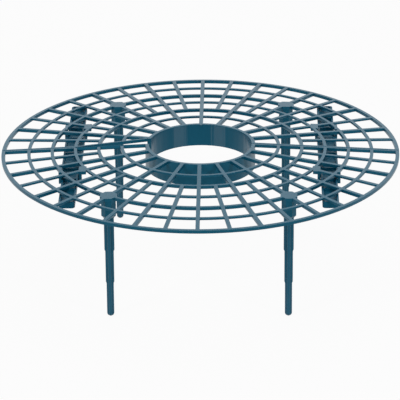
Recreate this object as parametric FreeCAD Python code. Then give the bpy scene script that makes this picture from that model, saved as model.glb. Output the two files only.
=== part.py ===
import FreeCAD, Part
import math
import os

from FreeCAD import Vector

# A round plant support rack in moulded plastic. Two half grids meet on a seam along X.
# Two tie bars run through brackets under the grids and hold the halves together.
# Four stepped stakes plug into sockets under the grids.
# Millimetres. +Z is up, +Y is away from the viewer, +X is to the viewer's right.
# The origin is on the ground plane, below the middle of the collar.

# Driving dimensions of the disc
disc_diameter = 300.0
collar_bore_diameter = 77.4
collar_wall = 2.8
collar_height = 17.3
collar_top_z = 100.4
disc_slope_degrees = 3.0
ring_bands = 6
outer_band_width = 20.75
spoke_count = 40
inner_full_bands = 2
ring_width = 2.5
rim_width = 2.8
spoke_width = 3.0
deep_rib_depth = 2.5
shallow_rib_depth = 1.6

# Driving dimensions of the seam between the halves
seam_gap = 0.4
seam_fin_width = 1.9
stem_notch_width = 10.0
stem_notch_bands = 3

# Driving dimensions of the leg sockets
leg_ring = 4
leg_spoke = 6
leg_pad_width = 12.3
socket_width = 10.7
socket_bottom_z = 79.8
socket_mouth_chamfer = 1.6
socket_bore_width = 8.4

# Driving dimensions of the legs
leg_tip_width = 5.3
leg_middle_width = 6.3
leg_plug_width = 7.4
leg_low_step_z = 26.6
leg_high_step_z = 52.3
leg_step_chamfer = 1.3
leg_web_thickness = 2.6
leg_top_chamfer = 0.8

# Driving dimensions of the tie bars
bar_ring = 3
bar_ring_offset = 1.85
bar_length = 191.0
bar_width = 12.0
bar_middle_width = 14.4
bar_height = 4.8
bar_wall = 1.4
bar_corner_radius = 2.6
bar_inner_rib_y = 30.0
bar_middle_rib_y = 50.0
bar_outer_rib_y = 70.0
bar_crossed_spoke = 4

# Driving dimensions of the tie bar brackets
bracket_y = 42.5
bracket_length = 7.0
bracket_pad_length = 10.0
bracket_cheek = 2.2
bracket_floor = 1.2

# Named clearances
running_gap = 0.3
seat_gap = 0.2
shoulder_gap = 0.5

# Sizes worked out from the driving ones
rim_radius = disc_diameter / 2
collar_inner = collar_bore_diameter / 2
collar_outer = collar_inner + collar_wall
band_pitch = (rim_radius - outer_band_width - collar_outer) / (ring_bands - 1)
spoke_step = 360.0 / spoke_count
slope = math.tan(math.radians(disc_slope_degrees))
half_seam = seam_gap / 2
reach = 2 * rim_radius
Z_AXIS = Vector(0, 0, 1)
ORIGIN = Vector(0, 0, 0)


def disc_top(radius):
    """Height of the disc's top face, which falls from the collar to the rim."""
    return collar_top_z - (radius - collar_outer) * slope


def ring_radius(index):
    """Centre line of a ring, counted outwards from the collar; the outermost band is wider."""
    return collar_outer + index * band_pitch


def ring_edges(index):
    """Inner and outer edge of a ring; ring 0 is the collar and the last is the rim."""
    if index == 0:
        return collar_inner, collar_outer
    if index == ring_bands:
        return rim_radius - rim_width, rim_radius
    centre = ring_radius(index)
    return centre - ring_width / 2, centre + ring_width / 2


def polar(radius, degrees):
    angle = math.radians(degrees)
    return Vector(radius * math.cos(angle), radius * math.sin(angle), 0)


def box(x0, x1, y0, y1, z0, z1):
    return Part.makeBox(x1 - x0, y1 - y0, z1 - z0, Vector(x0, y0, z0))


def revolved(points):
    """Solid of revolution about Z from (radius, height) points."""
    corners = [Vector(r, 0, z) for r, z in points]
    wire = Part.makePolygon(corners + corners[:1])
    return Part.Face(wire).revolve(ORIGIN, Z_AXIS, 360)


def dish(top_offset, bottom_offset):
    """Half of the dished shell, between two depths under the disc's top, flat from spoke to spoke."""
    inner = collar_inner + collar_wall / 4
    outer = rim_radius + rim_width
    profile = [
        (inner, collar_top_z - top_offset),
        (collar_outer, collar_top_z - top_offset),
        (outer, disc_top(outer) - top_offset),
        (outer, disc_top(outer) - bottom_offset),
        (collar_outer, collar_top_z - bottom_offset),
        (inner, collar_top_z - bottom_offset),
    ]
    sections = []
    for k in range(spoke_count // 2 + 1):
        sections.append([polar(r, k * spoke_step) + Vector(0, 0, z) for r, z in profile])
    faces = [polygon_face(sections[0]), polygon_face(sections[-1])]
    for this, after in zip(sections, sections[1:]):
        for k in range(len(profile)):
            following = (k + 1) % len(profile)
            faces.append(polygon_face([this[k], this[following], after[following], after[k]]))
    shell = Part.makeShell(faces)
    shell.sewShape()
    solid = Part.makeSolid(shell)
    if solid.Volume < 0:
        solid.reverse()
    return solid


def polygon_face(corners):
    return Part.Face(Part.makePolygon(corners + corners[:1]))


def octagon(width, x, y):
    """Flat octagon with flats square to X and Y, measured across the flats."""
    radius = width / 2 / math.cos(math.radians(22.5))
    corners = [polar(radius, 22.5 + 45 * k) + Vector(x, y, 0) for k in range(8)]
    return Part.Face(Part.makePolygon(corners + corners[:1]))


def half_annulus(inner, outer):
    """Half ring in plan, on the +Y side of the seam."""
    edge = half_seam
    a0 = math.degrees(math.asin(edge / inner))
    a1 = math.degrees(math.asin(edge / outer))
    outer_arc = Part.Arc(polar(outer, a1), polar(outer, 90), polar(outer, 180 - a1))
    inner_arc = Part.Arc(polar(inner, 180 - a0), polar(inner, 90), polar(inner, a0))
    right = Part.LineSegment(polar(inner, a0), polar(outer, a1))
    left = Part.LineSegment(polar(outer, 180 - a1), polar(inner, 180 - a0))
    return Part.Wire([part.toShape() for part in (right, outer_arc, left, inner_arc)])


def cell(inner, outer, start, end, start_side, end_side):
    """One window of the grid, between two rings and two spokes."""
    def at(radius, degrees, side):
        return degrees + math.degrees(math.asin(side / radius))
    s_in = at(inner, start, start_side)
    s_out = at(outer, start, start_side)
    e_in = at(inner, end, -end_side)
    e_out = at(outer, end, -end_side)
    sides = (
        Part.LineSegment(polar(inner, s_in), polar(outer, s_out)),
        Part.Arc(polar(outer, s_out), polar(outer, (s_out + e_out) / 2), polar(outer, e_out)),
        Part.LineSegment(polar(outer, e_out), polar(inner, e_in)),
        Part.Arc(polar(inner, e_in), polar(inner, (s_in + e_in) / 2), polar(inner, s_in)),
    )
    return Part.Wire([side.toShape() for side in sides])


def windows(first_ring, last_ring, step):
    """All windows of one band of the half grid, with the seam fins at both ends."""
    inner = ring_edges(first_ring)[1]
    outer = ring_edges(last_ring)[0]
    count = round(180 / step)
    fin_side = half_seam + seam_fin_width
    made = []
    for k in range(count):
        start_side = fin_side if k == 0 else spoke_width / 2
        end_side = fin_side if k == count - 1 else spoke_width / 2
        made.append(cell(inner, outer, k * step, (k + 1) * step, start_side, end_side))
    return made


def full_windows():
    """Windows of the whole grid: wide ones near the collar, narrow ones outside."""
    made = []
    for band in range(ring_bands):
        step = 2 * spoke_step if band < inner_full_bands else spoke_step
        made += windows(band, band + 1, step)
    return made


def deep_windows():
    """Windows between the deep ribs: every second ring and every second spoke."""
    made = []
    for band in range(0, ring_bands, 2):
        made += windows(band, band + 2, 2 * spoke_step)
    return made


def leg_places():
    """Plan position of the sockets of the +Y half."""
    radius = ring_radius(leg_ring)
    angle = leg_spoke * spoke_step
    right = polar(radius, angle)
    return ((right.x, right.y), (-right.x, right.y))


def bracket_spans(side):
    """X spans of the two cheeks of a bracket, and of the pads above them."""
    opening = bar_width / 2 + running_gap
    near_ring = math.sqrt(ring_radius(leg_ring - 1) ** 2 - bracket_y ** 2)
    far_ring = math.sqrt(ring_radius(leg_ring) ** 2 - bracket_y ** 2)
    cheek_in = (bar_x - opening - bracket_cheek, bar_x - opening)
    cheek_out = (bar_x + opening, bar_x + opening + bracket_cheek)
    pad_in = (min(near_ring, cheek_in[0]), cheek_in[1])
    pad_out = (cheek_out[0], max(far_ring, cheek_out[1]))
    spans = (cheek_in, cheek_out, pad_in, pad_out)
    return [span if side > 0 else (-span[1], -span[0]) for span in spans]


def pad_faces():
    """Solid patches of the grid above the sockets and the bracket cheeks."""
    faces = [octagon(leg_pad_width, x, y) for x, y in leg_places()]
    y0 = bracket_y - bracket_pad_length / 2
    y1 = bracket_y + bracket_pad_length / 2
    for side in (1, -1):
        for x0, x1 in bracket_spans(side)[2:]:
            faces.append(Part.makePlane(x1 - x0, y1 - y0, Vector(x0, y0, 0)))
    return faces


def layer(plan_windows, top_offset, bottom_offset):
    """The grid's plan, cut out of a dished shell between two depths."""
    outline = half_annulus(collar_inner + collar_wall / 2, rim_radius)
    plan = Part.makeFace([outline] + plan_windows, "Part::FaceMakerBullseye")
    plan = plan.fuse(pad_faces()).removeSplitter()
    prism = Part.makeCompound([face.extrude(Vector(0, 0, 2 * collar_top_z)) for face in plan.Faces])
    return dish(top_offset, bottom_offset).common(prism)


def half_collar():
    low = collar_top_z - collar_height
    ring = revolved(((collar_inner, low), (collar_outer, low),
                     (collar_outer, collar_top_z), (collar_inner, collar_top_z)))
    return ring.common(box(-reach, reach, half_seam, reach, 0, reach))


def socket(x, y):
    """Octagonal socket under a pad, with a chamfered mouth."""
    top = disc_top(math.hypot(x, y)) - deep_rib_depth / 2
    shoulder = socket_bottom_z + socket_mouth_chamfer
    body = raised(octagon(socket_width, x, y), shoulder, top)
    mouth = octagon(socket_width - 2 * socket_mouth_chamfer, x, y).OuterWire
    mouth.translate(Vector(0, 0, socket_bottom_z))
    rim = octagon(socket_width, x, y).OuterWire
    rim.translate(Vector(0, 0, shoulder))
    return body.fuse(Part.makeLoft([mouth, rim], True, True))


def socket_bore(x, y):
    return raised(octagon(socket_bore_width, x, y), 0, leg_top_z + seat_gap)


def raised(face, low, high):
    """A flat face made into a prism between two heights."""
    solid = face.extrude(Vector(0, 0, high - low))
    solid.translate(Vector(0, 0, low))
    return solid


def bracket(side):
    """Two cheeks and a floor that hold a tie bar up under the grid."""
    y0 = bracket_y - bracket_length / 2
    y1 = bracket_y + bracket_length / 2
    cheek_in, cheek_out = bracket_spans(side)[:2]
    floor_top = bar_bottom_z - running_gap
    floor_bottom = floor_top - bracket_floor
    far = max(abs(value) for value in cheek_in + cheek_out)
    top = disc_top(math.hypot(far, y1)) - deep_rib_depth / 2
    left = min(cheek_in + cheek_out)
    right = max(cheek_in + cheek_out)
    solids = [box(x0, x1, y0, y1, floor_bottom, top) for x0, x1 in (cheek_in, cheek_out)]
    return solids + [box(left, right, y0, y1, floor_bottom, floor_top)]


def half_grid():
    """One half of the disc on the +Y side: grid, collar, sockets and brackets."""
    solids = [layer(deep_windows(), shallow_rib_depth, deep_rib_depth), half_collar()]
    solids += [socket(x, y) for x, y in leg_places()]
    solids += bracket(1) + bracket(-1)
    body = layer(full_windows(), 0, shallow_rib_depth).fuse(solids).removeSplitter()
    body = body.cut([socket_bore(x, y) for x, y in leg_places()])
    return body.removeSplitter()


def stem_notch(body):
    """Open the left end of the seam towards the collar, and close it with a slanted fin."""
    tip = -ring_radius(stem_notch_bands)
    mouth = -collar_inner
    wide = half_seam + stem_notch_width
    run = Vector(mouth - tip, wide - half_seam, 0)
    beyond = Vector(mouth, wide, 0) + run * (2 * collar_wall / run.x)
    across = Vector(-run.y, run.x, 0).normalize() * seam_fin_width
    low = Vector(tip, half_seam - seam_gap, 0)
    start = Vector(tip, half_seam, 0)
    wedge_points = [low, start, beyond, Vector(beyond.x, low.y, 0), low]
    wedge = Part.Face(Part.makePolygon(wedge_points)).extrude(Vector(0, 0, 2 * collar_top_z))
    end = start + run * ((-collar_outer + collar_wall / 2 - tip) / run.x)
    fin_points = [start, end, end + across, start + across, start]
    fin = Part.Face(Part.makePolygon(fin_points)).extrude(Vector(0, 0, 2 * collar_top_z))
    slanted = dish(0, deep_rib_depth).common(fin)
    return body.cut(wedge).fuse(slanted).removeSplitter()


def tie_bar(side):
    """Ribbed channel with a wider middle that stops between the brackets."""
    middle = bracket_y - bracket_length / 2 - shoulder_gap
    outer = bar_blank(bar_width / 2, bar_length / 2, bar_middle_width / 2, middle)
    corners = [edge for edge in outer.Edges if is_end_corner(edge)]
    outer = outer.makeFillet(bar_corner_radius, corners)
    hollow = bar_blank(bar_width / 2 - bar_wall, bar_length / 2 - bar_wall,
                       bar_middle_width / 2 - bar_wall, middle - bar_wall)
    hollow.translate(Vector(0, 0, bar_wall))
    rib_places = (0, bar_inner_rib_y, bar_middle_rib_y, bar_outer_rib_y)
    for place in sorted({sign * place for place in rib_places for sign in (1, -1)}):
        hollow = hollow.cut(box(-bar_middle_width, bar_middle_width, place - bar_wall / 2, place + bar_wall / 2,
                                bar_bottom_z, bar_top_z + bar_height))
    bar = outer.cut(hollow)
    bar.translate(Vector(side * bar_x, 0, 0))
    return bar


def bar_blank(half_width, half_length, half_middle, middle):
    long_part = box(-half_width, half_width, -half_length, half_length, bar_bottom_z, bar_top_z)
    wide_part = box(-half_middle, half_middle, -middle, middle, bar_bottom_z, bar_top_z)
    return long_part.fuse(wide_part).removeSplitter()


def is_end_corner(edge):
    """True for the four upright edges at a tie bar's two ends."""
    low, high = edge.BoundBox.YMin, edge.BoundBox.YMax
    return edge.BoundBox.ZLength > bar_height / 2 and min(abs(low), abs(high)) > bar_length / 2 - bar_wall


def leg(x, y):
    """Stepped stake of two crossing webs, with a rounded tip and a chamfered plug end."""
    web = leg_outline().extrude(Vector(0, leg_web_thickness, 0))
    web.translate(Vector(0, -leg_web_thickness / 2, 0))
    other = web.copy()
    other.rotate(ORIGIN, Z_AXIS, 90)
    stake = web.fuse(other).removeSplitter()
    stake.translate(Vector(x, y, 0))
    return stake


def leg_outline():
    """Flat outline of one web of a stake, wider at each step up to the plug."""
    narrow = leg_tip_width / 2
    middle = leg_middle_width / 2
    wide = leg_plug_width / 2
    side = (
        (narrow, narrow),
        (narrow, leg_low_step_z),
        (middle, leg_low_step_z + leg_step_chamfer),
        (middle, leg_high_step_z),
        (wide, leg_high_step_z + leg_step_chamfer),
        (wide, leg_top_z - leg_top_chamfer),
        (wide - leg_top_chamfer, leg_top_z),
    )
    corners = [Vector(x, 0, z) for x, z in side] + [Vector(-x, 0, z) for x, z in reversed(side)]
    tip = Part.Arc(corners[-1], Vector(0, 0, 0), corners[0]).toShape()
    return Part.Face(Part.Wire(Part.makePolygon(corners).Edges + [tip]))


def turned_round(shape):
    """The same shape on the other side of the seam."""
    other = shape.copy()
    other.rotate(ORIGIN, Z_AXIS, 180)
    return other


def save(name, shape):
    solids = shape.Solids
    solid = solids[0] if len(solids) == 1 else Part.makeCompound(solids)
    solid.exportStep("parts/" + name + ".step")
    print(name, "solids", len(solids), "valid", solid.isValid(), "volume", round(solid.Volume, 1))


bar_x = ring_radius(bar_ring) + bar_ring_offset
leg_radius = ring_radius(leg_ring)
leg_top_z = disc_top(leg_radius + leg_pad_width / 2) - deep_rib_depth - seat_gap
bar_crossing = (bar_x + bar_width / 2) / math.cos(math.radians(bar_crossed_spoke * spoke_step))
bar_top_z = disc_top(bar_crossing) - deep_rib_depth - running_gap
bar_bottom_z = bar_top_z - bar_height


def main():
    os.makedirs("parts", exist_ok=True)
    half = half_grid()
    save("back_half_grid", stem_notch(half))
    save("front_half_grid", turned_round(half))
    save("right_tie_bar", tie_bar(1))
    save("left_tie_bar", tie_bar(-1))
    (right_x, right_y), (left_x, left_y) = leg_places()
    save("back_right_leg", leg(right_x, right_y))
    save("back_left_leg", leg(left_x, left_y))
    save("front_right_leg", leg(right_x, -right_y))
    save("front_left_leg", leg(left_x, -left_y))


main()
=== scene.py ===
import math

import bmesh
import bpy
from mathutils import Matrix, Vector


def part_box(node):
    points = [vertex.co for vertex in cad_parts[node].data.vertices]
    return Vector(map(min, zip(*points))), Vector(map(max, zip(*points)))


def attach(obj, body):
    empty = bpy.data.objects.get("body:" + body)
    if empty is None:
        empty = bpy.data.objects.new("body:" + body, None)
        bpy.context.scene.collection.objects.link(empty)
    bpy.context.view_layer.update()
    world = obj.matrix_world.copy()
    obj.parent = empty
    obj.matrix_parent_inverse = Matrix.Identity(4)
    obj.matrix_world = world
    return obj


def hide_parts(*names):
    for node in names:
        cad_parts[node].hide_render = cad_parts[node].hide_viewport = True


bl_info = {
    "name": "Plant Support Rack",
    "version": (1, 0, 0),
    "blender": (4, 5, 0),
    "location": "3D View > Sidebar > Rack",
    "description": "Builds a moulded plant support rack and the studio stage it stands on",
    "category": "Object",
}

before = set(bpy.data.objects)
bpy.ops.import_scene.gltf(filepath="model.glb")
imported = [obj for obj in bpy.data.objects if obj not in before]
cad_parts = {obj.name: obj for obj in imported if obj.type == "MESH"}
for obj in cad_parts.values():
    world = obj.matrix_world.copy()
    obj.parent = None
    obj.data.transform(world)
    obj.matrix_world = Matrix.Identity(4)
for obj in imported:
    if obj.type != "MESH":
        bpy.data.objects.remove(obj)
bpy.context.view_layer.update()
MM = 0.001

# How the disc is divided: ring 0 is the collar, ring 6 the rim, and spoke 0 lies on the seam.
# The inner bands have only every second spoke.
DISC_SPOKES = 40
RING_BANDS = 6
INNER_BANDS = 2
SOCKET_RING = 4
SOCKET_SPOKE = 6
BRACKET_RINGS = (3, 4)
SLOT_RING = 3

# The brackets' half length, the play round a tie bar in them, and that at its shoulders
BRACKET_REACH = 3.5 * MM
BAR_CLEARANCE = 0.3 * MM
SHOULDER_CLEARANCE = 0.5 * MM

# Shapes that are joined keep this far from a face that they would otherwise share
PROUD = 0.03 * MM

# The record's material slots and the materials made for them
FINISHES = {
    "grid_plastic": "moulded_grid_plastic",
    "bar_plastic": "moulded_bar_plastic",
    "leg_plastic": "moulded_stake_plastic",
}

# The highest corners of a grid half and a stake, and both corners of a tie bar
GRID_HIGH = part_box("back_half_grid")[1]
STAKE_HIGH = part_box("back_right_leg")[1]
BAR_LOW, BAR_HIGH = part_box("right_tie_bar")

# The photograph's width in pixels and its scale at the disc
PHOTO_WIDTH = 400
PIXELS_PER_METRE = 1326.5


# Node graphs that are written as Python expressions

class Signal:
    """An output socket that takes part in arithmetic."""

    def __init__(self, graph, socket):
        self.graph = graph
        self.socket = socket

    def output(self, name):
        """Another output of the same node."""
        return Signal(self.graph, self.socket.node.outputs[name])

    def __add__(self, other):
        return self.graph.math("ADD", self, other)

    def __radd__(self, other):
        return self.graph.math("ADD", other, self)

    def __sub__(self, other):
        return self.graph.math("SUBTRACT", self, other)

    def __rsub__(self, other):
        return self.graph.math("SUBTRACT", other, self)

    def __mul__(self, other):
        return self.graph.math("MULTIPLY", self, other)

    def __rmul__(self, other):
        return self.graph.math("MULTIPLY", other, self)

    def __truediv__(self, other):
        return self.graph.math("DIVIDE", self, other)

    def __rtruediv__(self, other):
        return self.graph.math("DIVIDE", other, self)

    def __mod__(self, other):
        return self.graph.math("FLOORED_MODULO", self, other)

    def __gt__(self, other):
        return self.graph.math("GREATER_THAN", self, other)

    def __lt__(self, other):
        return self.graph.math("LESS_THAN", self, other)


class Graph:
    """A node tree that is built up from expressions on signals."""

    def __init__(self, tree):
        self.tree = tree

    def node(self, kind, settings=None, inputs=None, output=0):
        """One node: its settings first, then the values or links of its inputs."""
        node = self.tree.nodes.new(kind)
        for name, value in (settings or {}).items():
            setattr(node, name, value)
        for name, value in (inputs or {}).items():
            for item in value if isinstance(value, list) else [value]:
                self.feed(self.find(node.inputs, name), item)
        return Signal(self, self.find(node.outputs, output)) if len(node.outputs) else None

    @staticmethod
    def find(sockets, key):
        """A socket by its place, its identifier or its name."""
        if isinstance(key, int):
            return sockets[key]
        for socket in sockets:
            if socket.identifier == key:
                return socket
        return sockets[key]

    def feed(self, socket, value):
        """Link a signal to a socket, or set the socket to a plain value."""
        if isinstance(value, Signal):
            self.tree.links.new(value.socket, socket)
        else:
            socket.default_value = value

    def math(self, operation, *values):
        return self.node("ShaderNodeMath", {"operation": operation}, dict(enumerate(values)))

    def floor(self, value):
        return self.math("FLOOR", value)

    def vector(self, x, y, z):
        return self.node("ShaderNodeCombineXYZ", None, {0: x, 1: y, 2: z})

    def mix(self, factor, first, second):
        """A blend of two numbers."""
        inputs = {"Factor_Float": factor, "A_Float": first, "B_Float": second}
        return self.node("ShaderNodeMix", {"data_type": "FLOAT"}, inputs, "Result_Float")

    def mix_colour(self, factor, first, second, blend="MIX"):
        """A blend of two colours."""
        inputs = {"Factor_Float": factor, "A_Color": first, "B_Color": second}
        settings = {"data_type": "RGBA", "blend_type": blend}
        return self.node("ShaderNodeMix", settings, inputs, "Result_Color")

    def choose(self, index, items):
        """The item whose place is given by a whole number."""
        chooser = self.tree.nodes.new("GeometryNodeIndexSwitch")
        chooser.data_type = "FLOAT"
        while len(chooser.index_switch_items) < len(items):
            chooser.index_switch_items.new()
        self.feed(chooser.inputs["Index"], index)
        for place, item in enumerate(items):
            self.feed(chooser.inputs[place + 1], item)
        return Signal(self, chooser.outputs[0])


class ShapeGraph(Graph):
    """A geometry tree with named inputs, which ends in plain geometry with a material."""

    def __init__(self, name, sizes):
        super().__init__(bpy.data.node_groups.new(name, "GeometryNodeTree"))
        self.values = {}
        interface = self.tree.interface
        for label, value in sizes.items():
            kind = "NodeSocketInt" if isinstance(value, int) else "NodeSocketFloat"
            if isinstance(value, bpy.types.Material):
                kind = "NodeSocketMaterial"
            socket = interface.new_socket(label, in_out="INPUT", socket_type=kind)
            self.values[socket.identifier] = value
        interface.new_socket("Geometry", in_out="OUTPUT", socket_type="NodeSocketGeometry")
        source = self.tree.nodes.new("NodeGroupInput")
        self.sizes = {label: Signal(self, source.outputs[label]) for label in sizes}

    def plan_position(self):
        """How far along X and along Y each point lies."""
        place = self.node("GeometryNodeInputPosition")
        x = self.node("ShaderNodeSeparateXYZ", None, {0: place})
        return x, x.output("Y")

    def capture(self, geometry, domain, **fields):
        """Keep fields on a geometry before it changes."""
        keeper = self.tree.nodes.new("GeometryNodeCaptureAttribute")
        keeper.domain = domain
        for label in fields:
            keeper.capture_items.new("FLOAT", label)
        self.feed(keeper.inputs[0], geometry)
        for label, field in fields.items():
            self.feed(keeper.inputs[label], field)
        kept = {label: Signal(self, keeper.outputs[label]) for label in fields}
        return Signal(self, keeper.outputs[0]), kept

    def extrude(self, geometry, selection, depth):
        """Push faces straight down, with walls at the sides."""
        inputs = {
            "Mesh": geometry,
            "Selection": selection,
            "Offset": (0.0, 0.0, -1.0),
            "Offset Scale": depth,
            "Individual": False,
        }
        return self.node("GeometryNodeExtrudeMesh", {"mode": "FACES"}, inputs)

    def join(self, *geometries):
        return self.node("GeometryNodeJoinGeometry", None, {"Geometry": list(geometries)})

    def weld(self, geometry):
        inputs = {"Geometry": geometry, "Distance": 0.002 * MM}
        return self.node("GeometryNodeMergeByDistance", None, inputs)

    def finish(self, geometry, material):
        """End the tree with real geometry that has its material."""
        real = self.node("GeometryNodeRealizeInstances", None, {"Geometry": geometry})
        inputs = {"Geometry": real, "Material": material}
        dressed = self.node("GeometryNodeSetMaterial", None, inputs)
        end = self.tree.nodes.new("NodeGroupOutput")
        self.feed(end.inputs[0], dressed)


# Objects and meshes

def new_object(name, mesh):
    made = bpy.data.objects.new(name, mesh)
    bpy.context.scene.collection.objects.link(made)
    return made


def rounded(piece, radius):
    """Moulded edges: a bevel on every edge that turns by more than 35 degrees."""
    bevel = piece.modifiers.new("Edges", "BEVEL")
    bevel.width = radius
    bevel.segments = 2
    bevel.limit_method = "ANGLE"
    bevel.angle_limit = math.radians(35.0)
    bevel.miter_outer = "MITER_ARC"


def joined_with(piece, tools, operation):
    """Cut or join closed shapes, which are gathered in a collection of their own."""
    group = bpy.data.collections.new(piece.name + "_" + operation.lower())
    for tool in tools:
        group.objects.link(tool)
    boolean = piece.modifiers.new(operation.title(), "BOOLEAN")
    boolean.operation = operation
    boolean.operand_type = "COLLECTION"
    boolean.collection = group
    boolean.solver = "MANIFOLD"


def grown(name, graph):
    """An object whose mesh comes from a geometry tree."""
    piece = new_object(name, bpy.data.meshes.new(name))
    modifier = piece.modifiers.new("Shape", "NODES")
    modifier.node_group = graph.tree
    for identifier, value in graph.values.items():
        modifier[identifier] = value
    return piece


def settled(piece, material):
    """Turn a piece and its modifiers into one plain mesh in one finish."""
    depsgraph = bpy.context.evaluated_depsgraph_get()
    mesh = bpy.data.meshes.new_from_object(piece.evaluated_get(depsgraph), depsgraph=depsgraph)
    piece.modifiers.clear()
    old = piece.data
    piece.data = mesh
    mesh.name = piece.name
    bpy.data.meshes.remove(old)
    mesh.materials.clear()
    mesh.materials.append(material)
    mesh.polygons.foreach_set("material_index", [0] * len(mesh.polygons))


def weighted(piece):
    """Shade smooth over rounded edges and flat over flat faces."""
    mesh = piece.data
    mesh.polygons.foreach_set("use_smooth", [True] * len(mesh.polygons))
    mesh.set_sharp_from_angle(angle=math.radians(40.0))
    modifier = piece.modifiers.new("Weighted Normals", "WEIGHTED_NORMAL")
    modifier.keep_sharp = True


def discard(objects):
    for item in objects:
        bpy.data.objects.remove(item)


def lofted(name, sections):
    """Closed shape through sections that have the same number of corners."""
    shape = bmesh.new()
    rows = [[shape.verts.new(corner) for corner in section] for section in sections]
    for low, high in zip(rows, rows[1:]):
        for k in range(len(low)):
            after = (k + 1) % len(low)
            shape.faces.new((low[k], low[after], high[after], high[k]))
    shape.faces.new(reversed(rows[0]))
    shape.faces.new(rows[-1])
    bmesh.ops.recalc_face_normals(shape, faces=shape.faces)
    mesh = bpy.data.meshes.new(name)
    shape.to_mesh(mesh)
    shape.free()
    return new_object(name, mesh)


def octagon(width, x, y, height):
    """Eight corners round a centre, measured across the flats; height may be a function."""
    radius = width / 2 / math.cos(math.radians(22.5))
    corners = []
    for k in range(8):
        angle = math.radians(22.5 + 45 * k)
        px = x + radius * math.cos(angle)
        py = y + radius * math.sin(angle)
        corners.append((px, py, height(px, py) if callable(height) else height))
    return corners


# Settings that a user may change

class RackSizes(bpy.types.PropertyGroup):
    disc_radius: bpy.props.FloatProperty(
        name="Disc Radius", description="From the middle of the collar to the outside of the rim",
        default=GRID_HIGH.x, unit="LENGTH")
    collar_bore: bpy.props.FloatProperty(
        name="Collar Bore", description="Radius of the opening for the plant",
        default=38.7 * MM, unit="LENGTH")
    collar_wall: bpy.props.FloatProperty(
        name="Collar Wall", description="Thickness of the collar", default=2.8 * MM, unit="LENGTH")
    collar_height: bpy.props.FloatProperty(
        name="Collar Height", description="Height of the collar's wall",
        default=17.3 * MM, unit="LENGTH")
    top_height: bpy.props.FloatProperty(
        name="Top Height", description="Height of the collar's top above the ground",
        default=GRID_HIGH.z - 0.02 * MM, unit="LENGTH")
    slope: bpy.props.FloatProperty(
        name="Slope", description="Fall of the disc from the collar to the rim",
        default=math.radians(3.0), subtype="ANGLE")
    outer_band: bpy.props.FloatProperty(
        name="Outer Band", description="Width of the outermost band, wider than the others",
        default=20.75 * MM, unit="LENGTH")
    ring_width: bpy.props.FloatProperty(
        name="Ring Width", description="Width of each ring between the collar and the rim",
        default=2.5 * MM, unit="LENGTH")
    rim_width: bpy.props.FloatProperty(
        name="Rim Width", description="Width of the outermost ring",
        default=2.8 * MM, unit="LENGTH")
    spoke_width: bpy.props.FloatProperty(
        name="Spoke Width", description="Width of each spoke", default=3.0 * MM, unit="LENGTH")
    shallow_depth: bpy.props.FloatProperty(
        name="Shallow Depth", description="Depth of the lighter rings and spokes",
        default=1.6 * MM, unit="LENGTH")
    deep_depth: bpy.props.FloatProperty(
        name="Deep Depth", description="Depth of every second ring and spoke",
        default=2.5 * MM, unit="LENGTH")
    seam_side: bpy.props.FloatProperty(
        name="Seam Side", description="Half the gap between the two halves",
        default=0.2 * MM, unit="LENGTH")
    seam_fin: bpy.props.FloatProperty(
        name="Seam Fin", description="Width of the fins along the seam",
        default=1.9 * MM, unit="LENGTH")
    notch_width: bpy.props.FloatProperty(
        name="Notch Width", description="Width of the slot where it meets the collar",
        default=10.0 * MM, unit="LENGTH")
    edge_radius: bpy.props.FloatProperty(
        name="Edge Radius", description="Rounding of the moulded edges",
        default=0.32 * MM, unit="LENGTH")
    stake_web: bpy.props.FloatProperty(
        name="Stake Web", description="Thickness of a stake's crossing webs",
        default=2.6 * MM, unit="LENGTH")
    socket_width: bpy.props.FloatProperty(
        name="Socket Width", description="Width of the sockets across their flats",
        default=10.7 * MM, unit="LENGTH")
    bracket_place: bpy.props.FloatProperty(
        name="Bracket Place", description="Distance of the brackets' middles from the seam",
        default=42.5 * MM, unit="LENGTH")
    bar_width: bpy.props.FloatProperty(
        name="Bar Width", description="Width of a tie bar where it runs through the brackets",
        default=12.0 * MM, unit="LENGTH")
    bar_wall: bpy.props.FloatProperty(
        name="Bar Wall", description="Thickness of a tie bar's walls and ribs",
        default=1.4 * MM, unit="LENGTH")
    pocket_depth: bpy.props.FloatProperty(
        name="Pocket Depth", description="Depth of the hollows between a tie bar's ribs",
        default=1.6 * MM, unit="LENGTH")


class RackColours(bpy.types.PropertyGroup):
    grid: bpy.props.FloatVectorProperty(
        name="Grid", description="Colour of the two grid halves", subtype="COLOR", size=4,
        min=0.0, max=1.0, default=(0.004, 0.076, 0.136, 1.0))
    bars: bpy.props.FloatVectorProperty(
        name="Tie Bars", description="Colour of the tie bars", subtype="COLOR", size=4,
        min=0.0, max=1.0, default=(0.004, 0.076, 0.136, 1.0))
    # Painted light: the stakes' colour is a little lighter than the grid's same plastic, standing
    # in for the brighter light that reaches them below the disc
    stakes: bpy.props.FloatVectorProperty(
        name="Stakes", description="Colour of the stakes", subtype="COLOR", size=4,
        min=0.0, max=1.0, default=(0.008, 0.086, 0.154, 1.0))
    floor: bpy.props.FloatVectorProperty(
        name="Floor", description="Colour of the studio floor", subtype="COLOR", size=4,
        min=0.0, max=1.0, default=(0.75, 0.75, 0.75, 1.0))


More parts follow.
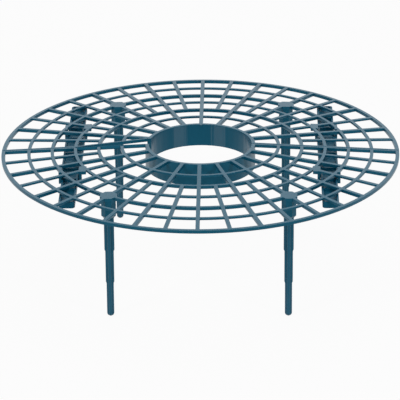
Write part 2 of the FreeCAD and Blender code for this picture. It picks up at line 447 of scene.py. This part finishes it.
class RackCamera(bpy.types.PropertyGroup):
    azimuth: bpy.props.FloatProperty(
        name="Azimuth", description="Turn of the view round the rack",
        default=math.radians(0.98), subtype="ANGLE")
    elevation: bpy.props.FloatProperty(
        name="Elevation", description="Height of the view above the horizon",
        default=math.radians(23.23), subtype="ANGLE")
    roll: bpy.props.FloatProperty(
        name="Roll", description="Tilt of the picture",
        default=math.radians(-0.46), subtype="ANGLE")
    distance: bpy.props.FloatProperty(
        name="Distance", description="From the camera to the middle of the disc",
        default=2.25, unit="LENGTH")
    view_width: bpy.props.FloatProperty(
        name="View Width", description="Width that the picture spans at the disc",
        default=PHOTO_WIDTH / PIXELS_PER_METRE, unit="LENGTH")
    aside: bpy.props.FloatProperty(
        name="Aside", description="How far the view's middle lies beside the disc's",
        default=0.19 * MM, unit="LENGTH")
    above: bpy.props.FloatProperty(
        name="Above", description="How far the disc's middle lies above the view's",
        default=44.6 * MM, unit="LENGTH")


# Finishes

def collar_bands(graph, place):
    """Glossier upright bands on the collar's inner wall, which fade towards the seam."""
    sizes = bpy.context.scene.rack_sizes
    bands_round = 8
    first_band = 0.8
    wander_share = 0.3
    wanders_round = 40.0
    lip = 0.4 * MM
    x = graph.node("ShaderNodeSeparateXYZ", None, {0: place})
    y = x.output("Y")
    z = x.output("Z")
    radius = graph.math("SQRT", x * x + y * y)
    turn = graph.math("ARCTAN2", y, x) / (2 * math.pi)
    wander = graph.node("ShaderNodeTexNoise", {"noise_dimensions": "1D"}, {
        "W": turn * wanders_round, "Detail": 3.0})
    phase = (turn * bands_round + wander * wander_share + first_band) % 1.0
    offset = graph.math("ABSOLUTE", phase - 0.5)
    band = graph.node("ShaderNodeMapRange", {"interpolation_type": "SMOOTHSTEP"}, {
        "Value": offset, "From Min": 0.13, "From Max": 0.22, "To Min": 1.0, "To Max": 0.0})
    on_inside = radius < sizes.collar_bore + sizes.collar_wall / 2
    under_lip = z < sizes.top_height - lip
    return band * on_inside * under_lip * graph.math("ABSOLUTE", y / radius)


def paler_towards_tip(graph, place, colour):
    """Paler greyish streaks towards the tip, which fade out up a stake."""
    pale_height = 70.0 * MM
    pale_colour = (0.085, 0.155, 0.215, 1.0)
    height = graph.node("ShaderNodeSeparateXYZ", None, {0: place}).output("Z")
    fade = graph.node("ShaderNodeMapRange", {"interpolation_type": "SMOOTHSTEP"}, {
        "Value": height, "From Min": 0.0, "From Max": pale_height, "To Min": 1.0, "To Max": 0.0})
    streaks = graph.node("ShaderNodeMapping", None, {"Vector": place, "Scale": (1.0, 1.0, 0.15)})
    marks = graph.node("ShaderNodeTexNoise", None, {
        "Vector": streaks, "Scale": 900.0, "Detail": 3.0})
    amount = graph.node("ShaderNodeMapRange", {"interpolation_type": "SMOOTHSTEP"}, {
        "Value": marks, "From Min": 0.35, "From Max": 0.75, "To Min": 0.03, "To Max": 0.26})
    return graph.mix_colour(fade * amount, colour, pale_colour)


def moulded_plastic(name, colour, roughness):
    """Semi-gloss moulded plastic: a fine spark-eroded grain, faint flow lines, soft cloudiness."""
    material = bpy.data.materials.new(name)
    material.use_nodes = True
    material.node_tree.nodes.clear()
    graph = Graph(material.node_tree)
    place = graph.node("ShaderNodeTexCoord", output="Object")
    drawn = graph.node("ShaderNodeMapping", None, {"Vector": place, "Scale": (1.0, 1.0, 0.22)})
    clouds = graph.node("ShaderNodeTexNoise", None, {
        "Vector": place, "Scale": 28.0, "Detail": 2.0})
    flow = graph.node("ShaderNodeTexNoise", None, {
        "Vector": drawn, "Scale": 240.0, "Detail": 3.0})
    grain = graph.node("ShaderNodeTexNoise", None, {
        "Vector": place, "Scale": 2600.0, "Detail": 2.0})

    # The colour varies by a few percent, and the roughness round its given value
    darkest = 0.88
    cloud_shade = 0.16
    flow_shade = 0.08
    shade = darkest + clouds * cloud_shade + flow * flow_shade
    tint = graph.node("ShaderNodeCombineColor", None, {0: shade, 1: shade, 2: shade})
    base = graph.mix_colour(1.0, tuple(colour), tint, "MULTIPLY")
    smoothest = roughness - 0.05
    cloud_rough = 0.06
    grain_rough = 0.05
    rough = smoothest + clouds * cloud_rough + grain * grain_rough
    grain_relief = 0.6
    flow_relief = 0.4
    bump = graph.node("ShaderNodeBump", None, {
        "Strength": 0.12,
        "Distance": 0.05 * MM,
        "Height": grain * grain_relief + flow * flow_relief,
    })
    sockets = {
        "Roughness": rough,
        "Normal": bump,
        "IOR": 1.5,
        "Specular Tint": (0.2, 0.75, 0.97, 1.0),
    }
    if name == FINISHES["leg_plastic"]:
        base = paler_towards_tip(graph, place, base)
        sockets["Specular Tint"] = (0.3, 0.8, 1.0, 1.0)
    if name == FINISHES["bar_plastic"]:
        sockets["Specular IOR Level"] = 0.3
    if name == FINISHES["grid_plastic"]:
        band_gloss = 0.75
        sockets["Coat Weight"] = collar_bands(graph, place) * band_gloss
        sockets["Coat Roughness"] = 0.14
    sockets["Base Color"] = base
    shader = graph.node("ShaderNodeBsdfPrincipled", None, sockets)
    graph.node("ShaderNodeOutputMaterial", None, {"Surface": shader})
    return material


def finish_for(slot):
    """The finish of one of the record's slots, made once."""
    name = FINISHES[slot]
    found = bpy.data.materials.get(name)
    if found:
        return found
    colours = bpy.context.scene.rack_colours
    looks = {
        "grid_plastic": {"colour": colours.grid, "roughness": 0.30},
        "bar_plastic": {"colour": colours.bars, "roughness": 0.42},
        "leg_plastic": {"colour": colours.stakes, "roughness": 0.22},
    }
    return moulded_plastic(name, **looks[slot])


# The grid halves

def grid_graph(sizes, turn):
    """Half the disc, made on the +Y side: rings and spokes of two depths, and half the collar.

    Each spoke takes two columns of points and the arc to the next spoke takes the others;
    each ring takes two rows.
    """
    arc_steps = 3
    cells = DISC_SPOKES // 2
    per_cell = arc_steps + 2
    columns = cells * per_cell + 2
    rows = 2 * RING_BANDS + 2
    graph = ShapeGraph("Half Grid", {
        "Bore": sizes.collar_bore,
        "Collar Wall": sizes.collar_wall,
        "Collar Height": sizes.collar_height,
        "Rim Radius": sizes.disc_radius,
        "Rim Width": sizes.rim_width,
        "Outer Band": sizes.outer_band,
        "Ring Width": sizes.ring_width,
        "Spoke Width": sizes.spoke_width,
        "Top Height": sizes.top_height,
        "Slope": math.tan(sizes.slope),
        "Shallow Depth": sizes.shallow_depth,
        "Deep Depth": sizes.deep_depth,
        "Seam Side": sizes.seam_side,
        "Seam Fin": sizes.seam_fin,
        "Turn": turn,
        "Columns": columns,
        "Rows": rows,
        "Columns per Spoke": per_cell,
        "Material": finish_for("grid_plastic"),
    })
    size = graph.sizes
    collar = size["Bore"] + size["Collar Wall"]
    pitch = (size["Rim Radius"] - size["Outer Band"] - collar) / (RING_BANDS - 1)

    # A flat sheet of quads, one unit apart, whose windows are taken out
    sheet = graph.node("GeometryNodeMeshGrid", None, {
        "Size X": size["Columns"] - 1, "Size Y": size["Rows"] - 1,
        "Vertices X": size["Columns"], "Vertices Y": size["Rows"]})
    x, y = graph.plan_position()
    column = x + (size["Columns"] - 1) / 2
    row = y + (size["Rows"] - 1) / 2
    sheet, kept = graph.capture(sheet, "FACE", Column=graph.floor(column), Row=graph.floor(row))
    spoke_at = graph.floor(kept["Column"] / size["Columns per Spoke"])
    on_spoke = (kept["Column"] % size["Columns per Spoke"]) < 0.5
    on_ring = (kept["Row"] % 2) < 0.5
    primary = (spoke_at % 2) < 0.5
    outside = kept["Row"] > 2 * INNER_BANDS - 0.5
    main_ring = (kept["Row"] % 4) < 0.5
    kept_spoke = on_spoke * graph.math("MAXIMUM", primary, outside)
    solid = graph.math("MAXIMUM", on_ring, kept_spoke)
    deep = graph.math("MAXIMUM", on_ring * main_ring, on_spoke * primary)
    sheet = graph.node("GeometryNodeDeleteGeometry", {"domain": "FACE"}, {
        "Geometry": sheet, "Selection": solid < 0.5})

    # Each row of points goes to the inner or outer edge of a ring
    whole_row = graph.floor(row + 0.5)
    ring = graph.floor(whole_row / 2)
    side = whole_row % 2
    first = ring < 0.5
    last = ring > RING_BANDS - 0.5
    between = 1 - first - last
    spread = first * (side - 1) * size["Collar Wall"]
    spread = spread + last * (side - 1) * size["Rim Width"]
    spread = spread + between * (side - 0.5) * size["Ring Width"]
    radius = graph.mix(last, collar + ring * pitch, size["Rim Radius"]) + spread

    # Each column goes to an edge of a spoke, or to the arc between two spokes
    whole_column = graph.floor(column + 0.5)
    spoke = graph.floor(whole_column / size["Columns per Spoke"])
    place = whole_column % size["Columns per Spoke"]
    half = size["Spoke Width"] / 2
    fin = size["Seam Side"] + size["Seam Fin"]
    step = math.pi / cells

    def edge(number, offset):
        return number * step + graph.math("ARCSINE", offset / radius)

    at_start = spoke < 0.5
    at_end = spoke > cells - 0.5
    before_end = spoke > cells - 1.5
    low_side = graph.mix(at_end, graph.mix(at_start, 0 - half, size["Seam Side"]), 0 - fin)
    high_side = graph.mix(at_end, graph.mix(at_start, half, fin), 0 - size["Seam Side"])
    next_side = graph.mix(before_end, 0 - half, 0 - fin)
    share = graph.math("MAXIMUM", place - 1, 0.0) / (size["Columns per Spoke"] - 1)
    along = graph.mix(share, edge(spoke, high_side), edge(spoke + 1, next_side))
    angle = graph.mix(place > 0.5, edge(spoke, low_side), along)
    fall = graph.math("MAXIMUM", radius - collar, 0.0) * size["Slope"]
    spot = graph.vector(
        radius * graph.math("COSINE", angle),
        radius * graph.math("SINE", angle),
        size["Top Height"] - fall)
    sheet = graph.node("GeometryNodeSetPosition", None, {"Geometry": sheet, "Position": spot})

    # The sheet is the disc's top; a copy pushed down gives the depths of ribs and collar
    to_deep = size["Deep Depth"] - size["Shallow Depth"]
    to_collar = size["Collar Height"] - size["Deep Depth"]
    at_collar = kept["Row"] < 0.5
    shallow = graph.extrude(sheet, True, size["Shallow Depth"])
    deeper = graph.extrude(shallow, shallow.output("Top") * deep, to_deep)
    full = graph.extrude(deeper, deeper.output("Top") * at_collar, to_collar)
    lid = graph.node("GeometryNodeFlipFaces", None, {"Mesh": sheet})
    half_disc = graph.weld(graph.join(lid, full))
    turned = graph.node("GeometryNodeTransform", None, {
        "Geometry": half_disc, "Rotation": graph.vector(0.0, 0.0, size["Turn"])})
    graph.finish(turned, size["Material"])
    return graph


def disc_height(sizes):
    """A function for the height of the disc's top over a point in plan."""
    collar = sizes.collar_bore + sizes.collar_wall

    def height(x, y):
        return sizes.top_height - max(math.hypot(x, y) - collar, 0.0) * math.tan(sizes.slope)

    return height


def lowered(height, depth):
    """The same height function, a depth lower."""
    return lambda x, y: height(x, y) - depth


def ring_at(sizes, number):
    """Radius of a ring's middle line, for all but the rim; ring 0 is the collar's outside."""
    collar = sizes.collar_bore + sizes.collar_wall
    return collar + number * (sizes.disc_radius - sizes.outer_band - collar) / (RING_BANDS - 1)


def socket_places(sizes):
    """The two points of a half where a ring crosses a spoke and a socket stands."""
    radius = ring_at(sizes, SOCKET_RING)
    angle = SOCKET_SPOKE * 2 * math.pi / DISC_SPOKES
    x = radius * math.cos(angle)
    y = radius * math.sin(angle)
    return ((x, y), (-x, y))


def socket_piece(sizes, x, y, side):
    """Octagonal pad and socket with a chamfered mouth and a bore for the stake."""
    top = disc_height(sizes)
    pad = 12.3 * MM
    bottom = 79.8 * MM
    chamfer = 1.6 * MM
    mouth = sizes.socket_width - 2 * chamfer + 0.3 * MM
    bore = 8.4 * MM
    ceiling = STAKE_HIGH.z + 0.2 * MM
    middle = lowered(top, sizes.deep_depth)
    sections = [
        octagon(pad, x, y, lowered(top, -PROUD)),
        octagon(pad, x, y, middle),
        octagon(sizes.socket_width, x, y, middle),
        octagon(sizes.socket_width, x, y, bottom + chamfer),
        octagon(mouth, x, y, bottom),
        octagon(bore, x, y, bottom),
        octagon(bore, x, y, ceiling),
    ]
    piece = lofted("socket_" + side, sections)
    rounded(piece, sizes.edge_radius)
    return piece


def block(name, x_span, y_span, low, high):
    """A block whose top and bottom may follow the disc."""
    left, right = x_span
    front, back = y_span
    plan = [(left, front), (right, front), (right, back), (left, back)]

    def section(height):
        return [(x, y, height(x, y) if callable(height) else height) for x, y in plan]

    return lofted(name, [section(low), section(high)])


def bracket_pieces(sizes, side):
    """Two cheeks and a floor round a tie bar, and the pads that carry them."""
    top = disc_height(sizes)
    centre = (BAR_LOW.x + BAR_HIGH.x) / 2
    opening = sizes.bar_width / 2 + BAR_CLEARANCE
    cheek = 2.2 * MM
    overlap = 0.4 * MM
    floor_depth = 1.2 * MM
    floor_inset = 0.05 * MM
    pad_reach = 5.0 * MM
    y_mid = sizes.bracket_place
    inner = (centre - opening - cheek, centre - opening)
    outer = (centre + opening, centre + opening + cheek)
    near, far = [math.sqrt(ring_at(sizes, number) ** 2 - y_mid ** 2) for number in BRACKET_RINGS]
    floor_top = BAR_LOW.z - BAR_CLEARANCE
    floor_low = floor_top - floor_depth

    def along(reach):
        return (y_mid - reach, y_mid + reach)

    def placed(low, high):
        return (low, high) if side > 0 else (-high, -low)

    tag = "right" if side > 0 else "left"
    cheek_heights = (floor_low, lowered(top, overlap))
    pad_heights = (lowered(top, sizes.deep_depth), lowered(top, -PROUD))
    floor_x = placed(inner[0] + overlap, outer[1] - overlap)
    floor_y = along(BRACKET_REACH - floor_inset)
    pad_in_x = placed(min(near, inner[0]), inner[1])
    pad_out_x = placed(outer[0], max(far, outer[1]))
    pieces = [
        block("cheek_in_" + tag, placed(*inner), along(BRACKET_REACH), *cheek_heights),
        block("cheek_out_" + tag, placed(*outer), along(BRACKET_REACH), *cheek_heights),
        block("bracket_floor_" + tag, floor_x, floor_y, floor_low + PROUD, floor_top),
        block("pad_in_" + tag, pad_in_x, along(pad_reach), *pad_heights),
        block("pad_out_" + tag, pad_out_x, along(pad_reach), *pad_heights),
    ]
    for piece in pieces:
        rounded(piece, sizes.edge_radius)
    return pieces


def gate_mark(sizes):
    """The stub that the mould's gate leaves on the collar, at the end of the middle spoke."""
    half_root = 1.0 * MM
    half_end = 2 / 3 * MM
    reach = 0.9 * MM
    top = sizes.top_height - 0.02 * MM
    root = sizes.collar_bore + 0.5 * MM
    rows = []
    for drop, share in ((1.3 * MM, 0.25), (0.6 * MM, 0.8), (0.0, 1.0)):
        z = top - drop
        end = sizes.collar_bore - reach * share
        rows.append([
            (-half_root, root, z),
            (half_root, root, z),
            (half_end * share, end, z),
            (-half_end * share, end, z),
        ])
    return lofted("gate_mark", rows)


def notch_shapes(sizes):
    """The wedge that opens the left end of the seam, and the slanted fin beside it."""
    top = disc_height(sizes)
    side = sizes.seam_side
    tip = -ring_at(sizes, SLOT_RING)
    mouth = -sizes.collar_bore
    into_bore = 5.0 * MM
    above_all = 0.2
    below_face = 0.01 * MM
    run = Vector((mouth - tip, sizes.notch_width))
    start = Vector((tip, side))
    end = start + run * (1 + into_bore / run.x)
    wedge_plan = [(tip, -side), (end.x, -side), (end.x, end.y), (start.x, start.y)]
    wedge = lofted("notch_wedge", [[(x, y, z) for x, y in wedge_plan] for z in (0.0, above_all)])

    # The fin runs from the slot's tip to the middle of the collar's wall
    across = Vector((-run.y, run.x)).normalized()
    lead = across * -PROUD
    width = across * sizes.seam_fin
    stop = start + run * ((-ring_at(sizes, 0) + sizes.collar_wall / 2 - tip) / run.x)
    plan = [start + lead, stop + lead, stop + width, start + width]
    heights = (lowered(top, sizes.deep_depth), lowered(top, below_face))
    fin = lofted("notch_fin", [[(p.x, p.y, height(p.x, p.y)) for p in plan] for height in heights])
    rounded(fin, sizes.edge_radius)
    return wedge, fin


def fin_chamfer(sizes):
    """The wedge that slopes the front half's fin away from the slot; it turns with that half."""
    top = disc_height(sizes)
    near = sizes.seam_side + 0.45 * MM
    far = sizes.seam_side + sizes.seam_fin
    drop = 1.5 * MM
    rows = []
    for x in (ring_at(sizes, 0), ring_at(sizes, SLOT_RING)):
        level = top(x, 0.0)
        rows.append([
            (x, near, level),
            (x, far, level - drop),
            (x, far, level + drop),
            (x, near, level + drop),
        ])
    return lofted("fin_chamfer", rows)


class RACK_OT_grid_halves(bpy.types.Operator):
    """Build both halves of the ribbed disc, with their sockets and brackets"""
    bl_idname = "rack.grid_halves"
    bl_label = "Build Grid Halves"

    def execute(self, context):
        sizes = context.scene.rack_sizes
        for name, body, turn in (("back", "back_half", 0.0), ("front", "front_half", math.pi)):
            piece = grown(name + "_half_moulding", grid_graph(sizes, turn))
            rounded(piece, sizes.edge_radius)
            fittings = []
            for (x, y), side in zip(socket_places(sizes), ("right", "left")):
                fittings.append(socket_piece(sizes, x, y, side))
            fittings += bracket_pieces(sizes, 1) + bracket_pieces(sizes, -1)

            # Only the back half has the slot; the front half's fin beside it is sloped
            cutters = [] if body == "back_half" else [fin_chamfer(sizes)]
            for shape in fittings + cutters:
                shape.data.transform(Matrix.Rotation(turn, 4, "Z"))
            if body == "back_half":
                wedge, fin = notch_shapes(sizes)
                fittings += [gate_mark(sizes), fin]
                cutters = [wedge]
            joined_with(piece, cutters, "DIFFERENCE")
            joined_with(piece, fittings, "UNION")
            settled(piece, finish_for("grid_plastic"))
            weighted(piece)
            discard(fittings + cutters)
            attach(piece, body)
            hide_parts(name + "_half_grid")
        return {"FINISHED"}


# The stakes

def stake_graph(sizes, x, y):
    """Cross-shaped stake that widens in two steps, from a rounded tip to the plug end."""
    tip_rows = 7
    round_points = 4
    graph = ShapeGraph("Stake", {
        "Tip Width": 5.3 * MM,
        "Middle Width": 6.3 * MM,
        "Plug Width": 7.4 * MM,
        "Web": sizes.stake_web,
        "Edge Radius": 0.9 * MM,
        "Low Step": 26.6 * MM,
        "High Step": 52.3 * MM,
        "Step Chamfer": 1.3 * MM,
        "Top": STAKE_HIGH.z,
        "Top Chamfer": 0.8 * MM,
        "X": x,
        "Y": y,
        "Material": finish_for("leg_plastic"),
    })
    size = graph.sizes

    # One row of points for each height, with the width there and its share near the tip
    tip = size["Tip Width"] / 2
    middle = size["Middle Width"] / 2
    plug = size["Plug Width"] / 2
    heights = []
    widths = []
    shares = []
    for k in range(tip_rows):
        angle = math.pi / 2 * k / (tip_rows - 1)
        heights.append(tip * (1 - math.cos(angle)))
        widths.append(tip)
        shares.append(math.sin(angle))
    upper = (
        (size["Low Step"], tip),
        (size["Low Step"] + size["Step Chamfer"], middle),
        (size["High Step"], middle),
        (size["High Step"] + size["Step Chamfer"], plug),
        (size["Top"] - size["Top Chamfer"], plug),
        (size["Top"], plug - size["Top Chamfer"]),
    )
    for height, width in upper:
        heights.append(height)
        widths.append(width)
        shares.append(1.0)
    heights.append(size["Top"])
    widths.append(plug)
    shares.append(0.0)
    rows = len(heights)
    per_arm = 2 * round_points + 1
    corners = 4 * per_arm
    sheet = graph.node("GeometryNodeMeshGrid", None, {
        "Size X": float(corners), "Size Y": float(rows - 1),
        "Vertices X": corners + 1, "Vertices Y": rows})
    px, py = graph.plan_position()
    corner = graph.floor(px + corners / 2 + 0.5)
    row = graph.floor(py + (rows - 1) / 2 + 0.5)
    height = graph.choose(row, heights)
    share = graph.choose(row, shares)
    arm = graph.choose(row, widths) * share
    web = size["Web"] / 2 * share
    radius = size["Edge Radius"] * share
    place = corner % per_arm
    quarter = graph.floor(corner / per_arm) * (math.pi / 2)

    # Each arm ends in two rounded edges; its last point is the inner corner beside the next arm
    second = place > round_points - 0.5
    inner = place > 2 * round_points - 0.5
    bend = (place - second) * (math.pi / 2 / (round_points - 1)) - math.pi / 2
    along = graph.mix(inner, arm - radius + radius * graph.math("COSINE", bend), web)
    middle_across = (web - radius) * (2 * second - 1)
    across = graph.mix(inner, middle_across + radius * graph.math("SINE", bend), web)
    cosine = graph.math("COSINE", quarter)
    sine = graph.math("SINE", quarter)
    spot = graph.vector(
        size["X"] + along * cosine - across * sine,
        size["Y"] + along * sine + across * cosine,
        height)
    shaped = graph.node("GeometryNodeSetPosition", None, {"Geometry": sheet, "Position": spot})
    graph.finish(graph.weld(shaped), size["Material"])
    return graph


class RACK_OT_stakes(bpy.types.Operator):
    """Build the four stakes that plug into the sockets"""
    bl_idname = "rack.stakes"
    bl_label = "Build Stakes"

    def execute(self, context):
        sizes = context.scene.rack_sizes
        for end in ("front", "back"):
            for side in ("left", "right"):
                node = end + "_" + side + "_leg"
                low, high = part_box(node)
                piece = grown(end + "_" + side + "_stake", stake_graph(
                    sizes, (low.x + high.x) / 2, (low.y + high.y) / 2))
                settled(piece, finish_for("leg_plastic"))
                weighted(piece)
                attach(piece, end + "_" + side + "_stake")
                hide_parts(node)
        return {"FINISHED"}


# The tie bars

def bar_outline(half_width, half_length, half_middle, middle, corner):
    """Plan of a tie bar: rounded ends, and a wider middle that stops at the brackets."""
    steps = 5
    right = [(half_middle, -middle), (half_middle, middle), (half_width, middle)]
    for k in range(steps + 1):
        angle = math.pi / 2 * k / steps
        right.append((
            half_width - corner + corner * math.cos(angle),
            half_length - corner + corner * math.sin(angle)))
    left = [(-x, y) for x, y in reversed(right[2:])]
    left += [(-half_middle, middle), (-half_middle, -middle)]
    front_left = [(-x, -y) for x, y in right[2:]]
    front_right = [(x, -y) for x, y in reversed(right[2:])]
    return right + left + front_left + front_right


def pocket_outline(low, high, narrow, wide, middle, inset):
    """Plan of one pocket between two ribs, which follows the bar's wider middle."""
    shift = 0.01 * MM

    def half(y):
        return (wide if abs(y) < middle else narrow) - inset

    right = [(half(low + shift), low + inset)]
    for step in (-middle, middle):
        if low < step < high:
            right += [(half(step - shift), step), (half(step + shift), step)]
    right.append((half(high - shift), high - inset))
    return right + [(-x, y) for x, y in reversed(right)]


def bar_pockets(sizes, box, centre, middle):
    """The hollows of a tie bar, narrower towards the floor, with cross ribs left between them."""
    low, high = box
    wall = sizes.bar_wall
    draft = 0.12 * MM
    end = (high.y - low.y) / 2
    narrow = sizes.bar_width / 2 - wall
    wide = (high.x - low.x) / 2 - wall
    half_ribs = [0.0, 30.0 * MM, 50.0 * MM, 70.0 * MM, end - wall / 2]
    ribs = sorted({sign * place for place in half_ribs for sign in (1, -1)})
    pockets = []
    for after, before in zip(ribs, ribs[1:]):
        span = (after + wall / 2, before - wall / 2)
        sections = []
        for z, inset in ((high.z - sizes.pocket_depth, draft), (high.z, 0.0), (high.z + wall, 0.0)):
            plan = pocket_outline(*span, narrow, wide, middle - wall, inset)
            sections.append([(centre + x, y, z) for x, y in plan])
        pockets.append(lofted("pocket", sections))
    return pockets


class RACK_OT_tie_bars(bpy.types.Operator):
    """Build the two ribbed tie bars under the disc"""
    bl_idname = "rack.tie_bars"
    bl_label = "Build Tie Bars"

    def execute(self, context):
        sizes = context.scene.rack_sizes
        end_corner = 2.6 * MM
        bar_edge = 0.28 * MM
        for side in ("left", "right"):
            low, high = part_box(side + "_tie_bar")
            centre = (low.x + high.x) / 2
            half_length = (high.y - low.y) / 2
            half_middle = (high.x - low.x) / 2
            middle = sizes.bracket_place - BRACKET_REACH - SHOULDER_CLEARANCE
            plan = bar_outline(sizes.bar_width / 2, half_length, half_middle, middle, end_corner)
            levels = [[(centre + x, y, z) for x, y in plan] for z in (low.z, high.z)]
            piece = lofted(side + "_bar_moulding", levels)
            pockets = bar_pockets(sizes, (low, high), centre, middle)
            joined_with(piece, pockets, "DIFFERENCE")
            rounded(piece, bar_edge)
            settled(piece, finish_for("bar_plastic"))
            weighted(piece)
            discard(pockets)
            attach(piece, side + "_bar")
            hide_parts(side + "_tie_bar")
        return {"FINISHED"}


# The stage

def seen_directly(graph):
    """One for rays that a viewer, a reflection or a clear material sends out."""
    rays = graph.node("ShaderNodeLightPath")
    direct = graph.math("MAXIMUM", rays.output("Is Camera Ray"), rays.output("Is Glossy Ray"))
    return graph.math("MAXIMUM", direct, rays.output("Is Transmission Ray"))


def stage_floor(colour):
    """Pale floor that looks white and keeps the rack's soft shadow."""
    material = bpy.data.materials.new("studio_floor")
    material.use_nodes = True
    material.node_tree.nodes.clear()
    graph = Graph(material.node_tree)
    paint = graph.node("ShaderNodeBsdfDiffuse", None, {"Color": tuple(colour)})
    glow = graph.node("ShaderNodeEmission", None, {"Color": (1.0, 1.0, 1.0, 1.0), "Strength": 1.0})
    glow_share = 0.94
    share = seen_directly(graph) * glow_share
    blend = graph.node("ShaderNodeMixShader", None, {0: share, 1: paint, 2: glow})
    graph.node("ShaderNodeOutputMaterial", None, {"Surface": blend})
    return material


def stage_world():
    """White surroundings for the viewer and for reflections, plain soft light for the rest."""
    world = bpy.data.worlds.new("studio")
    world.use_nodes = True
    world.node_tree.nodes.clear()
    graph = Graph(world.node_tree)
    room_light = 0.36
    strength = graph.mix(seen_directly(graph), room_light, 1.0)
    glow = graph.node("ShaderNodeBackground", None, {
        "Color": (1.0, 1.0, 1.0, 1.0), "Strength": strength})
    graph.node("ShaderNodeOutputWorld", None, {"Surface": glow})
    return world


def soft_lamp(name, size, power, place, aim):
    """A rectangular lamp with its power in watts, turned to a point above the ground's middle."""
    data = bpy.data.lights.new(name, "AREA")
    data.shape = "RECTANGLE"
    data.size, data.size_y = size
    data.energy = power
    lamp = new_object(name, data)
    lamp.location = place
    way = Vector((0.0, 0.0, aim)) - Vector(place)
    lamp.rotation_euler = way.to_track_quat("-Z", "Y").to_euler()


def place_camera(sizes, view):
    """The photograph's view: a long lens, from a point above the front of the rack."""
    azimuth = view.azimuth
    elevation = view.elevation
    back = Vector((
        math.sin(azimuth) * math.cos(elevation),
        -math.cos(azimuth) * math.cos(elevation),
        math.sin(elevation)))
    right = Vector((math.cos(azimuth), math.sin(azimuth), 0.0))
    up = back.cross(right).normalized()
    across = math.cos(view.roll) * right + math.sin(view.roll) * up
    upward = math.cos(view.roll) * up - math.sin(view.roll) * right

    # The view is aimed from the point where the disc's slope would reach its middle
    collar = sizes.collar_bore + sizes.collar_wall
    target = Vector((0.0, 0.0, sizes.top_height + collar * math.tan(sizes.slope)))
    spot = target + view.distance * back - view.aside * across - view.above * upward
    data = bpy.data.cameras.new("camera")
    data.sensor_width = 36.0
    data.lens = data.sensor_width * view.distance / view.view_width
    data.clip_start = 0.05
    data.clip_end = 60.0
    camera = new_object("camera", data)
    turn = Matrix((across, upward, back)).transposed()
    camera.matrix_world = Matrix.Translation(spot) @ turn.to_4x4()
    bpy.context.scene.camera = camera


class RACK_OT_stage(bpy.types.Operator):
    """Set up the floor, the surroundings, the soft lamps and the camera"""
    bl_idname = "rack.stage"
    bl_label = "Build Stage"

    def execute(self, context):
        scene = context.scene
        far = 8.0
        corners = [(-far, -far, 0), (far, -far, 0), (far, far, 0), (-far, far, 0)]
        mesh = bpy.data.meshes.new("studio_floor")
        mesh.from_pydata(corners, [], [(0, 1, 2, 3)])
        mesh.materials.append(stage_floor(scene.rack_colours.floor))
        floor = new_object("studio_floor", mesh)
        scene.world = stage_world()
        soft_lamp("overhead", size=(0.8, 0.6), power=5.5, place=(0.15, 0.45, 1.7), aim=0.1)
        soft_lamp("behind", size=(2.2, 0.9), power=3.4, place=(-0.05, 2.2, 1.2), aim=0.1)
        for name, x in (("left_side", -1.4), ("right_side", 1.4)):
            soft_lamp(name, size=(0.4, 0.7), power=10.5, place=(x, -1.4, 1.15), aim=0.05)
        place_camera(scene.rack_sizes, scene.rack_camera)
        scene.view_settings.view_transform = "Standard"
        return {"FINISHED"}


class RACK_PT_panel(bpy.types.Panel):
    """The rack's sizes, colours and building steps"""
    bl_idname = "RACK_PT_panel"
    bl_label = "Plant Support Rack"
    bl_space_type = "VIEW_3D"
    bl_region_type = "UI"
    bl_category = "Rack"

    def draw(self, context):
        scene = context.scene
        for title, group in (
            ("Sizes", scene.rack_sizes),
            ("Colours", scene.rack_colours),
            ("Camera", scene.rack_camera),
        ):
            area = self.layout.box()
            area.label(text=title)
            for label in group.__annotations__:
                area.prop(group, label)
        for operator in OPERATORS:
            self.layout.operator(operator.bl_idname)


OPERATORS = (RACK_OT_grid_halves, RACK_OT_stakes, RACK_OT_tie_bars, RACK_OT_stage)
CLASSES = (RackSizes, RackColours, RackCamera, *OPERATORS, RACK_PT_panel)


def register():
    for item in CLASSES:
        bpy.utils.register_class(item)
    bpy.types.Scene.rack_sizes = bpy.props.PointerProperty(type=RackSizes)
    bpy.types.Scene.rack_colours = bpy.props.PointerProperty(type=RackColours)
    bpy.types.Scene.rack_camera = bpy.props.PointerProperty(type=RackCamera)


def unregister():
    del bpy.types.Scene.rack_camera
    del bpy.types.Scene.rack_colours
    del bpy.types.Scene.rack_sizes
    for item in reversed(CLASSES):
        bpy.utils.unregister_class(item)


def main():
    register()
    bpy.ops.rack.grid_halves()
    bpy.ops.rack.stakes()
    bpy.ops.rack.tie_bars()
    bpy.ops.rack.stage()


if __name__ == "__main__":
    main()
